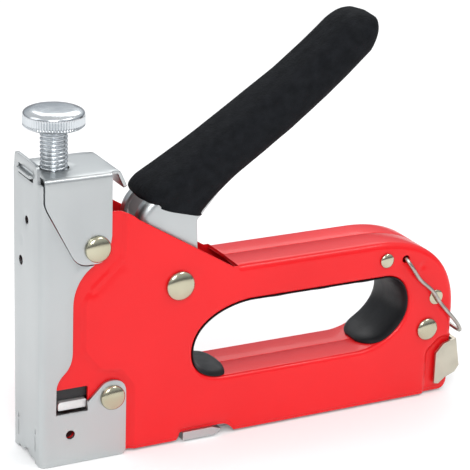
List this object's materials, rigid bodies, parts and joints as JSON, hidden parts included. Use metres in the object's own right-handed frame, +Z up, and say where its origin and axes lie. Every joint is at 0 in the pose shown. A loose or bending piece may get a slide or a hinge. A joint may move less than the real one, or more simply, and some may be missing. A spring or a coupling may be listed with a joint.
{
  "type": "staple gun",
  "caption": "Hand staple gun: two-part pressed steel body with finger loop, steel nose, knob-adjusted spring striker, foam-covered lever, slide-out magazine and wire lever lock.",
  "frame": {"origin": "centre of the magazine's underside, directly below the adjusting screw's axis", "axes": "+X from the nose to the rear of the handle, +Z up along the adjusting screw, +Y across the body to the far side"},
  "size_m": [0.1799, 0.032, 0.1564],
  "materials": {
    "red_paint": "gloss",
    "satin_chrome": "satin",
    "nickel_plate": "bright",
    "plain_steel": "satin",
    "black_foam": "matt",
    "black_rubber": "satin",
    "black_plastic": "satin"
  },
  "bodies": {
    "frame": {"body_shell_near": "red_paint", "body_shell_far": "red_paint", "front_housing": "satin_chrome", "top_bracket": "satin_chrome", "screw_nut": "plain_steel", "main_spring": "plain_steel", "striker_guide": "plain_steel", "striker_bumper": "black_rubber", "guide_block": "black_plastic", "nose_bar": "plain_steel", "finger_guard": "black_rubber", "lever_bush": "plain_steel", "lever_return_spring": "plain_steel", "upper_nose_rivet": "nickel_plate", "lower_nose_rivet": "nickel_plate", "lever_pivot_rivet": "nickel_plate", "rear_upper_rivet": "nickel_plate", "rear_lower_rivet": "nickel_plate", "bail_stop_pin": "nickel_plate", "lower_nose_spacer": "plain_steel", "rear_spacer": "plain_steel"},
    "lever": {"lever_frame": "satin_chrome", "lever_grip": "black_foam"},
    "striker": {"striker_blade": "plain_steel", "striker_carrier": "plain_steel", "lift_pin": "plain_steel"},
    "spring_seat": {"spring_seat_washer": "plain_steel"},
    "adjuster": {"adjusting_screw": "satin_chrome", "adjusting_knob": "satin_chrome"},
    "magazine": {"magazine_channel": "plain_steel", "magazine_core": "plain_steel", "magazine_end_cap": "nickel_plate", "pusher_rod": "plain_steel", "pusher_spring": "plain_steel"},
    "pusher": {"staple_pusher": "plain_steel"},
    "catch": {"magazine_catch": "satin_chrome"},
    "bail": {"lock_bail": "plain_steel"}
  },
  "joints": [
    {"name": "lever_squeeze", "type": "hinge", "parent": "frame", "child": "lever", "pos_m": [0.044, 0, 0.063], "axis": [0, 1, 0], "range_deg": [0, 25], "stiffness_Nm_per_rad": 1.2, "springref_deg": -20.05},
    {"name": "striker_lift", "type": "slide", "parent": "frame", "child": "striker", "axis": [0, 0, 1], "range_m": [0, 0.0178], "deforming": ["main_spring"]},
    {"name": "screw_feed", "type": "slide", "parent": "frame", "child": "spring_seat", "axis": [0, 0, 1], "range_m": [-0.006, 0]},
    {"name": "screw_turn", "type": "hinge", "parent": "spring_seat", "child": "adjuster", "pos_m": [0, 0, 0.118], "axis": [0, 0, 1], "range_deg": [-1440, 0]},
    {"name": "magazine_slide", "type": "slide", "parent": "frame", "child": "magazine", "axis": [1, 0, 0], "range_m": [0, 0.09]},
    {"name": "pusher_slide", "type": "slide", "parent": "magazine", "child": "pusher", "axis": [1, 0, 0], "range_m": [0, 0.12], "stiffness_N_per_m": 12, "springref_m": -0.05},
    {"name": "catch_press", "type": "slide", "parent": "frame", "child": "catch", "axis": [1, 0, 0], "range_m": [0, 0.0024], "stiffness_N_per_m": 400, "springref_m": -0.002},
    {"name": "bail_swing", "type": "hinge", "parent": "frame", "child": "bail", "pos_m": [0.1402, 0, 0.0593], "axis": [0, 1, 0], "range_deg": [-118, 0]}
  ],
  "couplings": [
    {"joint": "striker_lift", "follows": "lever_squeeze", "m_per_rad": 0.04079},
    {"joint": "screw_turn", "follows": "screw_feed", "rad_per_m": 4188.8}
  ]
}
